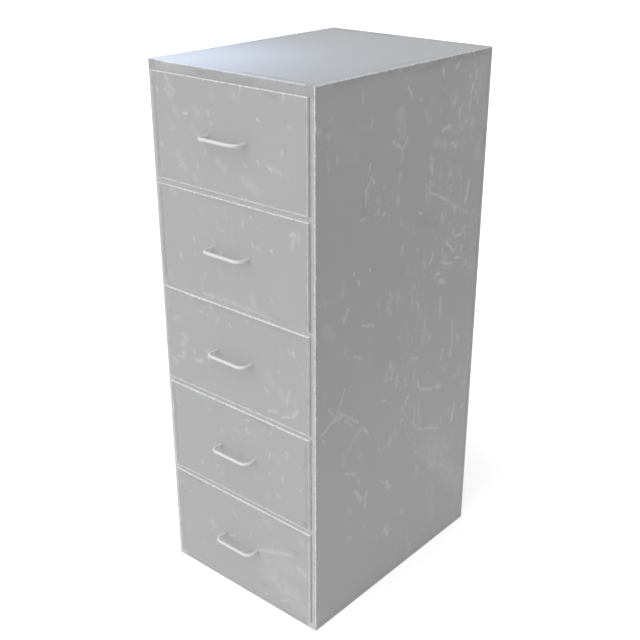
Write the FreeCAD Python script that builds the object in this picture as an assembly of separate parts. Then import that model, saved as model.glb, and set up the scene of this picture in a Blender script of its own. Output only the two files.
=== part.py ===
import FreeCAD, Part
import math
import os
from FreeCAD import Vector

# A steel filing cabinet with five drawers on roller runners.
# Millimetres. +X is the cabinet's right, +Y its back, +Z up.
# The origin is the centre of the base, on the floor.

# Carcass
WIDTH = 480.0
DEPTH = 628.0
HEIGHT = 1300.0
SHEET = 1.0
BEND = 2.0
STILE = 25.0
LIP = 22.0
REAR_FLANGE = 20.0
WELD_FLANGE = 15.0
BASE_RISE = 20.0

# Drawer fronts
DRAWERS = 5
PITCH = 251.2
RAIL_SHOWN = 11.0
TOP_MARGIN = 21.5
BOTTOM_MARGIN = 20.0
FRONT_WIDTH = 454.0
FRONT_PROUD = 7.0
FRONT_GAP = 1.0
FRONT_BEND = 1.5
OVERLAP = 8.0

# Drawer bodies
BODY_HALF_WIDTH = 198.0
BODY_DROP = 14.0
BODY_HEIGHT = 210.0
BODY_BACK = 270.0
BODY_FLANGE = 12.0
DRAWER_TRAVEL = 450.0

# Pulls. Rods, pins and screws are drawn with flats, measured across them.
ROD = 8.0
ROD_SIDES = 12
SMALL_SIDES = 8
PULL_CENTRES = 112.0
PULL_REACH = 31.2
PULL_BEND = 16.7
BEND_STEPS = 6
PULL_ABOVE_MIDDLE = 2.0
SCREW = 3.8
SCREW_HOLE = 4.2
SCREW_HEAD = 7.6
SCREW_HEAD_HEIGHT = 2.2
SCREW_INTO_ROD = 10.0

# Uprights
UPRIGHT_SHEET = 1.2
UPRIGHT_FACE = 218.0
UPRIGHT_WIDTH = 30.0
UPRIGHT_WELD = 14.0
FRONT_UPRIGHT = -244.0
REAR_UPRIGHT = 246.0
LUG = (1.5, 12.0)
SLOT = (2.1, 13.0)
LUG_LENGTH = 5.0

# Runners: heights are measured from the runner's centre line
RUNNER_DROP = 170.0
RUNNER_SHEET = 1.5
CHANNEL = 24.6
CHANNEL_FLANGE = 13.5
CHANNEL_FRONT = -288.0
CHANNEL_BACK = 284.0
RAIL_TOP = 10.7
RAIL_BOTTOM = -10.0
RAIL_FLANGE = 14.0
RAIL_FRONT = -313.0
RAIL_BACK = 268.0
BUFFER = 15.0

# Wheels
PIN = 6.0
BORE = 6.5
WHEEL_WIDTH = 11.0
WHEEL_CAP = 2.0
WHEEL_SIDE_GAP = 2.0
PIN_LENGTH = 10.5
FRONT_WHEEL = 21.0
FRONT_WHEEL_Y = -276.0
REAR_WHEEL = 23.2
REAR_WHEEL_Y = 255.0
WHEEL_GAP = 0.25
WHEEL_STOP = 3.0

# Worked out from the driving dimensions
half_width = WIDTH / 2
frame_face = -DEPTH / 2
back_face = DEPTH / 2
opening_half = half_width - STILE
front_face = frame_face - FRONT_PROUD
front_rim = frame_face - FRONT_GAP
plate_face = front_rim - SHEET
front_height = PITCH - RAIL_SHOWN
channel_web = UPRIGHT_FACE - RUNNER_SHEET
channel_tip = UPRIGHT_FACE - CHANNEL_FLANGE
channel_half = CHANNEL / 2
rail_web = BODY_HALF_WIDTH + RUNNER_SHEET
front_wheel_z = RAIL_TOP - RUNNER_SHEET - WHEEL_GAP - FRONT_WHEEL / 2
rear_wheel_z = -channel_half + WHEEL_GAP + REAR_WHEEL / 2
X = Vector(1, 0, 0)
Y = Vector(0, 1, 0)
Z = Vector(0, 0, 1)


def front_top(number):
    return HEIGHT - TOP_MARGIN - (number - 1) * PITCH


def front_bottom(number):
    if number == DRAWERS:
        return BOTTOM_MARGIN
    return front_top(number) - front_height


def box(low, high):
    return Part.makeBox(high[0] - low[0], high[1] - low[1], high[2] - low[2], Vector(*low))


def cylinder(diameter, start, end):
    run = Vector(*end) - Vector(*start)
    return Part.makeCylinder(diameter / 2, run.Length, Vector(*start), run)


def flats(diameter, sides, centre, normal):
    # a regular polygon, diameter across its flats
    radius = diameter / 2 / math.cos(math.pi / sides)
    across = Z.cross(normal).normalize()
    up = normal.cross(across).normalize()
    corners = []
    for step in range(sides + 1):
        angle = 2 * math.pi * (step + 0.5) / sides
        corners.append(centre + across * (radius * math.cos(angle)) + up * (radius * math.sin(angle)))
    return Part.Face(Part.makePolygon(corners))


def bar(diameter, sides, start, end):
    run = Vector(*end) - Vector(*start)
    return flats(diameter, sides, Vector(*start), run).extrude(run)


def mirrored(shape):
    return shape.mirror(Vector(0, 0, 0), X)


def pair(shape):
    # the left-hand piece and its right-hand twin
    return Part.makeCompound([shape, mirrored(shape)])


def shifted_corners(points, normal, distance):
    # the same path, moved sideways by distance
    lines = []
    for first, last in zip(points, points[1:]):
        side = normal.cross(last - first).normalize() * distance
        lines.append((first + side, last + side))
    corners = [lines[0][0]]
    for line, following in zip(lines, lines[1:]):
        along = (line[1] - line[0]).normalize()
        other = (following[1] - following[0]).normalize()
        across = normal.cross(other)
        reach = (following[0] - line[0]).dot(across) / along.dot(across)
        corners.append(line[0] + along * reach)
    corners.append(lines[-1][1])
    return corners


def rounded_run(points, radii):
    # straight runs joined by tangent arcs
    edges = []
    start = points[0]
    for index, radius in enumerate(radii):
        corner = points[index + 1]
        before = (points[index] - corner).normalize()
        after = (points[index + 2] - corner).normalize()
        half_turn = before.getAngle(after) / 2
        cut = radius / math.tan(half_turn)
        first = corner + before * cut
        edges.append(Part.LineSegment(start, first).toShape())
        start = corner + after * cut
        if radius > 0:
            inward = (before + after).normalize()
            middle = corner + inward * (radius / math.sin(half_turn) - radius)
            edges.append(Part.Arc(first, middle, start).toShape())
    edges.append(Part.LineSegment(start, points[-1]).toShape())
    return edges


def folded(points, thickness, bends, along):
    # a folded sheet: the path is one face, the sheet lies to its left, looking against along
    points = [Vector(*point) for point in points]
    normal = Vector(along).normalize()
    outer = []
    inner = []
    for index, bend in enumerate(bends):
        before = points[index + 1] - points[index]
        after = points[index + 2] - points[index + 1]
        turns_left = before.cross(after).dot(normal) > 0
        tight = max(bend - thickness, 0.0)
        outer.append(bend if turns_left else tight)
        inner.append(tight if turns_left else bend)
    far = shifted_corners(points, normal, thickness)
    edges = rounded_run(points, outer)
    edges.append(Part.LineSegment(points[-1], far[-1]).toShape())
    edges += reversed(rounded_run(far, inner))
    edges.append(Part.LineSegment(far[0], points[0]).toShape())
    outline = Part.Wire(Part.__sortEdges__(edges))
    return Part.Face(outline).extrude(Vector(along))


def side_panel():
    # left-hand: rear flange, side, stile and the lip behind the stile
    path = [
        (-half_width + REAR_FLANGE, back_face, 0),
        (-half_width, back_face, 0),
        (-half_width, frame_face, 0),
        (-opening_half, frame_face, 0),
        (-opening_half, frame_face + LIP, 0),
    ]
    panel = folded(path, SHEET, [BEND, BEND, 0], Z * HEIGHT)
    inside = (-half_width + SHEET, frame_face + SHEET)
    clear_of_base = box((*inside, -1), (0, back_face - SHEET, BASE_RISE))
    clear_of_top = box((*inside, HEIGHT - SHEET), (0, back_face - SHEET, HEIGHT + 1))
    return panel.cut(clear_of_base).cut(clear_of_top)


def top_panel():
    # rear flange, top, top rail and its return, with welding flanges inside the side panels
    inside = half_width - SHEET
    rail_bottom = front_top(1) - OVERLAP
    path = [
        (-inside, back_face, HEIGHT - WELD_FLANGE),
        (-inside, back_face, HEIGHT),
        (-inside, frame_face, HEIGHT),
        (-inside, frame_face, rail_bottom),
        (-inside, frame_face + LIP, rail_bottom),
    ]
    panel = folded(path, SHEET, [BEND, BEND, 0], X * (2 * inside))
    for side in (-1, 1):
        stile = sorted((side * opening_half, side * half_width))
        rear = sorted((side * (half_width - REAR_FLANGE), side * half_width))
        panel = panel.cut(box((stile[0], frame_face - 1, 0), (stile[1], frame_face + SHEET, HEIGHT + 1)))
        panel = panel.cut(box((stile[0], frame_face, 0), (stile[1], frame_face + LIP + 1, HEIGHT - SHEET)))
        panel = panel.cut(box((rear[0], back_face - SHEET, 0), (rear[1], back_face + 1, HEIGHT + 1)))
        flange = sorted((side * (inside - SHEET), side * inside))
        low = (flange[0], frame_face + LIP, HEIGHT - WELD_FLANGE)
        high = (flange[1], back_face - LIP, HEIGHT - SHEET)
        panel = panel.fuse(box(low, high))
    return panel.removeSplitter()


def back_panel():
    inside = half_width - BEND
    return box((-inside, back_face - 2 * SHEET, 0), (inside, back_face - SHEET, HEIGHT - BEND))


def base_pan():
    # a tray with upturned flanges, resting on its whole underside
    inside = half_width - SHEET
    pan = box((-inside, frame_face + SHEET, 0), (inside, back_face - 2 * SHEET, BASE_RISE))
    open_face = [face for face in pan.Faces if face.BoundBox.ZMin > BASE_RISE / 2]
    return pan.makeThickness(open_face, -SHEET, 0.001)


def rail(low, high, shut_below):
    # a channel between the stiles, open to the rear
    path = [(frame_face + LIP, high), (frame_face, high), (frame_face, low)]
    if shut_below:
        path.append((frame_face + LIP, low))
    points = [(-opening_half, y, z) for y, z in path]
    return folded(points, SHEET, [0] * (len(path) - 2), X * (2 * opening_half))


def front_rail(number):
    return rail(front_top(number + 1) - OVERLAP, front_bottom(number) + OVERLAP, True)


def bottom_rail():
    return rail(0.0, BOTTOM_MARGIN + OVERLAP, False)


def runner_height(number):
    return front_top(number) - RUNNER_DROP


def uprights(centre):
    # hat-shaped posts welded inside the side panels, one slot for each runner
    panel_face = -half_width + SHEET + UPRIGHT_SHEET
    front = centre - UPRIGHT_WIDTH / 2
    back = centre + UPRIGHT_WIDTH / 2
    low = BASE_RISE + 1
    high = HEIGHT - WELD_FLANGE - 1
    path = [
        (panel_face, front - UPRIGHT_WELD, low),
        (panel_face, front, low),
        (-UPRIGHT_FACE, front, low),
        (-UPRIGHT_FACE, back, low),
        (panel_face, back, low),
        (panel_face, back + UPRIGHT_WELD, low),
    ]
    post = folded(path, UPRIGHT_SHEET, [0, 0, 0, 0], Z * (high - low))
    for number in range(1, DRAWERS + 1):
        middle = runner_height(number)
        slot_low = (-UPRIGHT_FACE - UPRIGHT_SHEET - 1, centre - SLOT[0] / 2, middle - SLOT[1] / 2)
        slot_high = (-UPRIGHT_FACE + 1, centre + SLOT[0] / 2, middle + SLOT[1] / 2)
        post = post.cut(box(slot_low, slot_high))
    return pair(post)


def cabinet_runners(number):
    # channels open to the drawer, with hook lugs, a wheel pin, a stop bump and a rear tab
    middle = runner_height(number)
    reach = channel_half + RUNNER_SHEET
    path = [
        (-channel_tip, CHANNEL_FRONT, middle - reach),
        (-UPRIGHT_FACE, CHANNEL_FRONT, middle - reach),
        (-UPRIGHT_FACE, CHANNEL_FRONT, middle + reach),
        (-channel_tip, CHANNEL_FRONT, middle + reach),
    ]
    runner = folded(path, RUNNER_SHEET, [0, 0], Y * (CHANNEL_BACK - CHANNEL_FRONT))
    tab_low = (-channel_web, CHANNEL_BACK - RUNNER_SHEET, middle - channel_half)
    runner = runner.fuse(box(tab_low, (-channel_tip, CHANNEL_BACK, middle + channel_half)))
    for centre in (FRONT_UPRIGHT, REAR_UPRIGHT):
        lug_low = (-UPRIGHT_FACE - LUG_LENGTH, centre - LUG[0] / 2, middle - LUG[1] / 2)
        lug_high = (-UPRIGHT_FACE, centre + LUG[0] / 2, middle + LUG[1] / 2)
        runner = runner.fuse(box(lug_low, lug_high))
    pin_height = middle + front_wheel_z
    pin_start = (-channel_web, FRONT_WHEEL_Y, pin_height)
    pin_end = (-channel_web + PIN_LENGTH, FRONT_WHEEL_Y, pin_height)
    runner = runner.fuse(bar(PIN, ROD_SIDES, pin_start, pin_end))
    stop_y = REAR_WHEEL_Y - DRAWER_TRAVEL - REAR_WHEEL / 2
    stop_low = (-channel_web, stop_y - WHEEL_STOP, middle - channel_half)
    stop_high = (-channel_tip, stop_y, middle - channel_half + WHEEL_STOP)
    runner = runner.fuse(box(stop_low, stop_high))
    return pair(runner.removeSplitter())


def runner_buffers():
    # rubber blocks in the closed end of every cabinet runner
    blocks = []
    for number in range(1, DRAWERS + 1):
        middle = runner_height(number)
        back = CHANNEL_BACK - RUNNER_SHEET
        low = (-channel_web, back - BUFFER, middle - channel_half)
        high = (-channel_tip, back, middle + channel_half)
        block = box(low, high)
        nose = [edge for edge in block.Edges if edge.BoundBox.YMax < low[1] + 1 and edge.BoundBox.XLength > 1]
        block = block.makeChamfer(BUFFER / 3, nose)
        blocks += [block, mirrored(block)]
    return Part.makeCompound(blocks)


def wheel(diameter, face, toward, y, z):
    # a nylon wheel, closed on its outer face, turning on a fixed pin
    inner = face + toward * WHEEL_WIDTH
    disc = cylinder(diameter, (face, y, z), (inner, y, z))
    bore = bar(BORE, ROD_SIDES, (face + toward * WHEEL_CAP, y, z), (inner + toward, y, z))
    return pair(disc.cut(bore))


def cabinet_wheels(number):
    face = -channel_web + WHEEL_SIDE_GAP + WHEEL_WIDTH
    return wheel(FRONT_WHEEL, face, -1, FRONT_WHEEL_Y, runner_height(number) + front_wheel_z)


def drawer_wheels(number):
    face = -rail_web - WHEEL_SIDE_GAP - WHEEL_WIDTH
    return wheel(REAR_WHEEL, face, 1, REAR_WHEEL_Y, runner_height(number) + rear_wheel_z)


def drawer_runners(number):
    # angles on the drawer sides, cut back behind to leave room for the wheel
    middle = runner_height(number)
    flange_back = REAR_WHEEL_Y - REAR_WHEEL / 2 - 3
    path = [
        (-BODY_HALF_WIDTH - RAIL_FLANGE, RAIL_FRONT, middle + RAIL_TOP),
        (-BODY_HALF_WIDTH, RAIL_FRONT, middle + RAIL_TOP),
        (-BODY_HALF_WIDTH, RAIL_FRONT, middle + RAIL_BOTTOM),
    ]
    runner = folded(path, RUNNER_SHEET, [0], Y * (flange_back - RAIL_FRONT))
    tail_low = (-rail_web, flange_back, middle + RAIL_BOTTOM)
    runner = runner.fuse(box(tail_low, (-BODY_HALF_WIDTH, RAIL_BACK, middle + RAIL_TOP)))
    pin_height = middle + rear_wheel_z
    pin_end = (-rail_web - PIN_LENGTH, REAR_WHEEL_Y, pin_height)
    pin = bar(PIN, ROD_SIDES, (-rail_web, REAR_WHEEL_Y, pin_height), pin_end)
    return pair(runner.fuse(pin).removeSplitter())


def pull_height(number):
    return (front_top(number) + front_bottom(number)) / 2 + PULL_ABOVE_MIDDLE


def screw_holes(number):
    holes = []
    for x in (-PULL_CENTRES / 2, PULL_CENTRES / 2):
        height = pull_height(number)
        start = (x, front_face - SCREW_INTO_ROD - 1, height)
        holes.append(bar(SCREW_HOLE, SMALL_SIDES, start, (x, front_rim + 1, height)))
    return holes


def drawer_front(number):
    # a shallow pan, open to the rear
    low = (-FRONT_WIDTH / 2, front_face, front_bottom(number))
    high = (FRONT_WIDTH / 2, front_rim, front_top(number))
    pan = box(low, high)
    face_edges = [edge for edge in pan.Edges if edge.BoundBox.YMax < front_face + 0.001]
    pan = pan.makeFillet(FRONT_BEND, face_edges)
    hollow_low = (low[0] + SHEET, front_face + SHEET, low[2] + SHEET)
    hollow_high = (high[0] - SHEET, front_rim + 1, high[2] - SHEET)
    pan = pan.cut(box(hollow_low, hollow_high))
    for hole in screw_holes(number):
        pan = pan.cut(hole)
    return pan


def drawer_body(number):
    # front plate inside the pan, and the folded bottom and sides with inward top flanges
    top = front_top(number) - BODY_DROP
    bottom = top - BODY_HEIGHT
    inside = BODY_HALF_WIDTH - BODY_FLANGE
    path = [
        (inside, plate_face, top),
        (BODY_HALF_WIDTH, plate_face, top),
        (BODY_HALF_WIDTH, plate_face, bottom),
        (-BODY_HALF_WIDTH, plate_face, bottom),
        (-BODY_HALF_WIDTH, plate_face, top),
        (-inside, plate_face, top),
    ]
    wrap = folded(path, SHEET, [0] * 4, Y * (BODY_BACK - plate_face))
    plate_half = FRONT_WIDTH / 2 - SHEET
    low = (-plate_half, plate_face, front_bottom(number) + SHEET)
    high = (plate_half, front_rim, front_top(number) - SHEET)
    body = wrap.fuse(box(low, high)).removeSplitter()
    for hole in screw_holes(number):
        body = body.cut(hole)
    return body


def drawer_back(number):
    top = front_top(number) - BODY_DROP - SHEET
    bottom = top - BODY_HEIGHT + 2 * SHEET
    half = BODY_HALF_WIDTH - SHEET
    return box((-half, BODY_BACK - 2 * SHEET, bottom), (half, BODY_BACK - SHEET, top))


def handle(number):
    # one bent rod, tapped at both ends: its section is carried along two legs, two bends and the bar
    z = pull_height(number)
    bend_x = PULL_CENTRES / 2 - PULL_BEND
    bend_y = front_face - PULL_REACH + PULL_BEND
    sections = [flats(ROD, ROD_SIDES, Vector(-PULL_CENTRES / 2, front_face, z), -Y)]
    for x, first_angle in ((-bend_x, 0), (bend_x, 90)):
        for step in range(BEND_STEPS + 1):
            angle = math.radians(first_angle + 90 * step / BEND_STEPS)
            outward = Vector(-math.cos(angle), -math.sin(angle), 0)
            middle = Vector(x, bend_y, z) + outward * PULL_BEND
            sections.append(flats(ROD, ROD_SIDES, middle, Z.cross(outward)))
    sections.append(flats(ROD, ROD_SIDES, Vector(PULL_CENTRES / 2, front_face, z), Y))
    rod = Part.makeLoft([section.OuterWire for section in sections], True, True)
    for hole in screw_holes(number):
        rod = rod.cut(hole)
    return rod


def handle_screws(number):
    screws = []
    z = pull_height(number)
    for x in (-PULL_CENTRES / 2, PULL_CENTRES / 2):
        shank = bar(SCREW, SMALL_SIDES, (x, front_rim, z), (x, front_face - SCREW_INTO_ROD, z))
        head = bar(SCREW_HEAD, ROD_SIDES, (x, front_rim, z), (x, front_rim + SCREW_HEAD_HEIGHT, z))
        screws.append(shank.fuse(head))
    return Part.makeCompound(screws)


def write(name, shape):
    shape.exportStep(os.path.join("parts", name + ".step"))


def main():
    os.makedirs("parts", exist_ok=True)
    left = side_panel()
    write("left_side_panel", left)
    write("right_side_panel", mirrored(left))
    write("top_panel", top_panel())
    write("back_panel", back_panel())
    write("base_pan", base_pan())
    write("bottom_rail", bottom_rail())
    write("front_uprights", uprights(FRONT_UPRIGHT))
    write("rear_uprights", uprights(REAR_UPRIGHT))
    write("runner_buffers", runner_buffers())
    for number in range(1, DRAWERS):
        write("front_rail_%d" % number, front_rail(number))
    makers = {
        "cabinet_runners": cabinet_runners,
        "cabinet_wheels": cabinet_wheels,
        "drawer_front": drawer_front,
        "drawer_body": drawer_body,
        "drawer_back": drawer_back,
        "drawer_runners": drawer_runners,
        "drawer_wheels": drawer_wheels,
        "handle": handle,
        "handle_screws": handle_screws,
    }
    for number in range(1, DRAWERS + 1):
        for name, make in makers.items():
            write("%s_%d" % (name, number), make(number))


main()
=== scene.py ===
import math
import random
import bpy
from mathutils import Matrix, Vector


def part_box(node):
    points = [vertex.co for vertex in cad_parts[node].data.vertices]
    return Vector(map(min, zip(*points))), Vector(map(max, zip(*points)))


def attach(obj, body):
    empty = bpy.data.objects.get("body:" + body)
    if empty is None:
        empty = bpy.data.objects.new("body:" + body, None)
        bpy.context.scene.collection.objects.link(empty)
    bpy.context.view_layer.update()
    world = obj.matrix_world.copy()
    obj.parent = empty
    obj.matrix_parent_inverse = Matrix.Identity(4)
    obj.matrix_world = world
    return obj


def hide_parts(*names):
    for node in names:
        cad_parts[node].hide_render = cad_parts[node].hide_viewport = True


bl_info = {
    "name": "Worn filing cabinet",
    "version": (1, 0, 0),
    "blender": (4, 5, 0),
    "location": "View3D > Sidebar > Cabinet",
    "description": "Dresses a five-drawer steel filing cabinet in worn enamel and sets its studio",
    "category": "Object",
}

import bmesh
import bpy
from mathutils import Vector

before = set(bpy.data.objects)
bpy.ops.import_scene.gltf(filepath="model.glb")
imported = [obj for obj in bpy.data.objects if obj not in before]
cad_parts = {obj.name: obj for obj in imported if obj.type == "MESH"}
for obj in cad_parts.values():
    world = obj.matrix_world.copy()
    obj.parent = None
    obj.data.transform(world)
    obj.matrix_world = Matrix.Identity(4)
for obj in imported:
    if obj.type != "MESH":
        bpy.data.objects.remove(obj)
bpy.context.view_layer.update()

# What the model itself says
DRAWERS = sum(1 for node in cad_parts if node.startswith("drawer_front_"))
CARCASS_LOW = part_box("left_side_panel")[0]
CARCASS_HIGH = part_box("right_side_panel")[1]
PULL_LOW, PULL_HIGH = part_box("handle_1")

# How many pieces a round form is divided into, and the reach of a curve's handle on a quarter bend, in radii
ROUND_STEPS = 32
BEND_HANDLE = 0.5523

# Sizes of the wear, in metres. Marks waver this far. The others are where a rub, dirt or the top's fold fades
# in or out, from the front, the rim, the top or the edge that it follows. The rubs on a drawer front's folds
# and on a side's stile are also painted light.
MARK_WAVER = 0.014
FOLD_BEHIND = (0.0009, 0.0020)
FOLD_RIM = (0.0012, 0.0004)
STILE_RUB = (0.003, 0.001)
STILE_BELOW_TOP = (0.018, 0.030)
DIRT_REACH = (0.010, 0.002)
TOP_FOLD = (0.001, 0.003)

# How pale the rubs are, from 0 to 1. The stile's rub is also painted light that lifts the shade the drawer
# fronts cast on it
STILE_RUB_AND_LIGHT_STRENGTH = 0.34
EDGE_DIRT_STRENGTH = 0.30

# Shading of the enamel, as shares of its colour: random tone and streaks, and painted light that makes the
# sides paler low down, the top paler towards the back and the top's folded front edge darker
TONE_SWING = 0.12
STREAK_SWING = 0.05
PAINTED_FLOOR_LIGHT_LOW_DOWN = 2.1
TOP_PAINTED_LIGHT_FARTHER = 0.06
TOP_FOLD_SHADE = -0.035

# Where the two suns stand, how wide they are, and the small lamp's size, place and aim from the top's front
# left corner, in metres
KEY_FROM = (-0.4, -2.4, 1.8)
SIDE_FROM = (2.2, -1.8, 0.7)
SUN_SPREAD = math.radians(80.0)
LAMP_SIZE = 0.06
LAMP_PLACE = Vector((0.030, 0.128, 0.339))
LAMP_AIM = Vector((-0.04, -0.60, -1.0))
FLOOR_GLOW = 0.55
SENSOR_WIDTH = 36.0


class CabinetFinish(bpy.types.PropertyGroup):
    """Colours, wear and painted light of every finish on the cabinet."""

    enamel_color: bpy.props.FloatVectorProperty(
        name="Enamel", description="Outside enamel where it is whole",
        subtype="COLOR", size=3, min=0.0, max=1.0, default=(0.435, 0.433, 0.436))
    # The top's colour is painted light: a cooler, paler copy of the enamel that stands for a cool sky
    # reflection
    top_color: bpy.props.FloatVectorProperty(
        name="Enamel of the top", description="The top's enamel, a little cooler than the rest",
        subtype="COLOR", size=3, min=0.0, max=1.0, default=(0.447, 0.455, 0.470))
    # Also the colour of the painted highlight over the top's front left corner
    scuff_color: bpy.props.FloatVectorProperty(
        name="Scuffs", description="Enamel rubbed pale by knocks and scratches",
        subtype="COLOR", size=3, min=0.0, max=1.0, default=(0.70, 0.70, 0.705))
    # Also the colour of the painted light on the drawer fronts' folds, the rails and the sides' stiles
    edge_color: bpy.props.FloatVectorProperty(
        name="Worn edges", description="Edges rubbed through to bright primer",
        subtype="COLOR", size=3, min=0.0, max=1.0, default=(0.88, 0.88, 0.885))
    # Also the colour of the painted shade lines just inside the drawer fronts' edges
    grime_color: bpy.props.FloatVectorProperty(
        name="Grime", description="Dirt held in corners and under edges",
        subtype="COLOR", size=3, min=0.0, max=1.0, default=(0.20, 0.21, 0.19))
    wash_color: bpy.props.FloatVectorProperty(
        name="Wash", description="Pale green blue wash where something ran down the fronts",
        subtype="COLOR", size=3, min=0.0, max=1.0, default=(0.50, 0.56, 0.55))
    inner_color: bpy.props.FloatVectorProperty(
        name="Inner enamel", description="Thinner enamel inside the drawers and behind them",
        subtype="COLOR", size=3, min=0.0, max=1.0, default=(0.36, 0.36, 0.355))
    pull_color: bpy.props.FloatVectorProperty(
        name="Pulls", description="Satin metal of the drawer pulls",
        subtype="COLOR", size=3, min=0.0, max=1.0, default=(0.72, 0.72, 0.72))
    zinc_color: bpy.props.FloatVectorProperty(
        name="Zinc", description="Zinc plate on runners and screws",
        subtype="COLOR", size=3, min=0.0, max=1.0, default=(0.55, 0.57, 0.58))
    nylon_color: bpy.props.FloatVectorProperty(
        name="Nylon", description="Natural nylon of the runner wheels",
        subtype="COLOR", size=3, min=0.0, max=1.0, default=(0.74, 0.71, 0.62))
    rubber_color: bpy.props.FloatVectorProperty(
        name="Rubber", description="Buffers at the closed end of the runners",
        subtype="COLOR", size=3, min=0.0, max=1.0, default=(0.018, 0.018, 0.018))
    enamel_roughness: bpy.props.FloatProperty(
        name="Enamel roughness", description="Sheen of the whole enamel",
        subtype="FACTOR", min=0.0, max=1.0, default=0.5)
    edge_wear: bpy.props.FloatProperty(
        name="Edge wear", description="Width of the pale line along a knocked edge",
        unit="LENGTH", min=0.0, max=0.02, default=0.0022)


class CabinetPull(bpy.types.PropertyGroup):
    """Shape of the bent rod on each drawer."""

    rod: bpy.props.FloatProperty(
        name="Rod", description="Diameter of the rod",
        unit="LENGTH", min=0.004, max=0.02, default=PULL_HIGH.z - PULL_LOW.z)
    bend: bpy.props.FloatProperty(
        name="Bend", description="Radius of each bend on the rod's centre line",
        unit="LENGTH", min=0.006, max=0.05, default=0.0167)


class CabinetStage(bpy.types.PropertyGroup):
    """Floor, light and camera."""

    floor_color: bpy.props.FloatVectorProperty(
        name="Floor", description="Plain pale floor",
        subtype="COLOR", size=3, min=0.0, max=1.0, default=(0.78, 0.78, 0.78))
    floor_size: bpy.props.FloatProperty(
        name="Floor size", description="Length of each side of the floor",
        unit="LENGTH", min=5.0, max=200.0, default=80.0)
    fill: bpy.props.FloatProperty(
        name="Fill", description="Strength of the even light from all round",
        min=0.0, max=5.0, default=0.48)
    key: bpy.props.FloatProperty(
        name="Key", description="Strength of the soft sun from the front left",
        min=0.0, max=20.0, default=1.6)
    side: bpy.props.FloatProperty(
        name="Side", description="Strength of the weak sun from the front right",
        min=0.0, max=20.0, default=0.15)
    corner: bpy.props.FloatProperty(
        name="Corner", description="Power of the cool lamp over the top's front left corner",
        unit="POWER", min=0.0, max=100.0, default=1.36)
    corner_color: bpy.props.FloatVectorProperty(
        name="Corner color", description="Cool daylight of that lamp",
        subtype="COLOR", size=3, min=0.0, max=1.0, default=(0.62, 0.75, 1.00))
    camera_place: bpy.props.FloatVectorProperty(
        name="Camera", description="Where the camera stands",
        subtype="TRANSLATION", unit="LENGTH", size=3, default=(1.5065, -1.7681, 1.6714))
    azimuth: bpy.props.FloatProperty(
        name="Azimuth", description="How far the camera is turned from straight ahead of the drawers",
        subtype="ANGLE", default=math.radians(40.76))
    elevation: bpy.props.FloatProperty(
        name="Elevation", description="How far the camera looks down",
        subtype="ANGLE", default=math.radians(23.87))
    field: bpy.props.FloatProperty(
        name="Field of view", description="Angle that the square picture takes in",
        subtype="ANGLE", default=math.radians(35.0))


class Graph:
    """A node tree with one short call for each kind of node."""

    def __init__(self, tree):
        self.tree = tree

    def set(self, socket, value):
        if isinstance(value, bpy.types.NodeSocket):
            self.tree.links.new(value, socket)
        elif hasattr(socket.default_value, "__len__") and len(socket.default_value) == 4 and len(value) == 3:
            socket.default_value = (*value, 1.0)
        else:
            socket.default_value = value

    def add(self, kind, *inputs, node_tree=None, **settings):
        node = self.tree.nodes.new("ShaderNode" + kind)
        if node_tree:
            node.node_tree = node_tree
        sockets = {}
        for socket in node.inputs:
            sockets.setdefault(socket.name.lower().replace(" ", "_"), socket)
        for name in [name for name in settings if name not in sockets]:
            setattr(node, name, settings.pop(name))
        for socket, value in zip(node.inputs, inputs):
            self.set(socket, value)
        for name, value in settings.items():
            self.set(sockets[name], value)
        return node

    def math(self, operation, first, second=0.0):
        return self.add("Math", first, second, operation=operation).outputs[0]

    def gather(self, operation, values):
        result = values[0]
        for value in values[1:]:
            result = self.math(operation, result, value)
        return result

    def total(self, *values):
        return self.gather("ADD", values)

    def times(self, *values):
        return self.gather("MULTIPLY", values)

    def largest(self, values):
        return self.gather("MAXIMUM", values)

    def smallest(self, values):
        return self.gather("MINIMUM", values)

    def minus(self, value, other):
        return self.math("SUBTRACT", value, other)

    def vector(self, operation, first, second=(0.0, 0.0, 0.0)):
        node = self.add("VectorMath", first, second, operation=operation)
        scalar = operation in ("LENGTH", "DOT_PRODUCT", "DISTANCE")
        return node.outputs["Value" if scalar else "Vector"]

    def scaled(self, vector, by):
        return self.add("VectorMath", vector, operation="SCALE", scale=by).outputs[0]

    def stretch(self, vector, by):
        return self.vector("MULTIPLY", vector, by)

    def step(self, value, start, end):
        # 0 at start, 1 at end, smooth between; start may be the larger
        node = self.add("MapRange", value, start, end, 0.0, 1.0, interpolation_type="SMOOTHSTEP")
        return node.outputs[0]

    def noise(self, vector, scale, detail=2.0, roughness=0.5):
        return self.add("TexNoise", vector=vector, scale=scale, detail=detail, roughness=roughness).outputs[0]

    def mix(self, factor, first, second):
        node = self.add("Mix", data_type="RGBA")
        self.set(node.inputs[0], factor)
        self.set(node.inputs[6], first)
        self.set(node.inputs[7], second)
        return node.outputs[2]

    def place(self):
        return self.add("TexCoord").outputs["Object"]

    def split(self, vector):
        return self.add("SeparateXYZ", vector).outputs

    def coat(self, shader, color, roughness, grain, strength, distance):
        """Color and roughness of a shader, and a grain of the given strength, and depth in metres"""
        bump = self.add("Bump", strength=strength, distance=distance, height=grain)
        for name, value in (("Base Color", color), ("Roughness", roughness), ("Normal", bump.outputs[0])):
            self.set(shader.inputs[name], value)


def material_graph(name):
    material = bpy.data.materials.new(name)
    material.use_nodes = True
    return material, Graph(material.node_tree), material.node_tree.nodes["Principled BSDF"]


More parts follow.
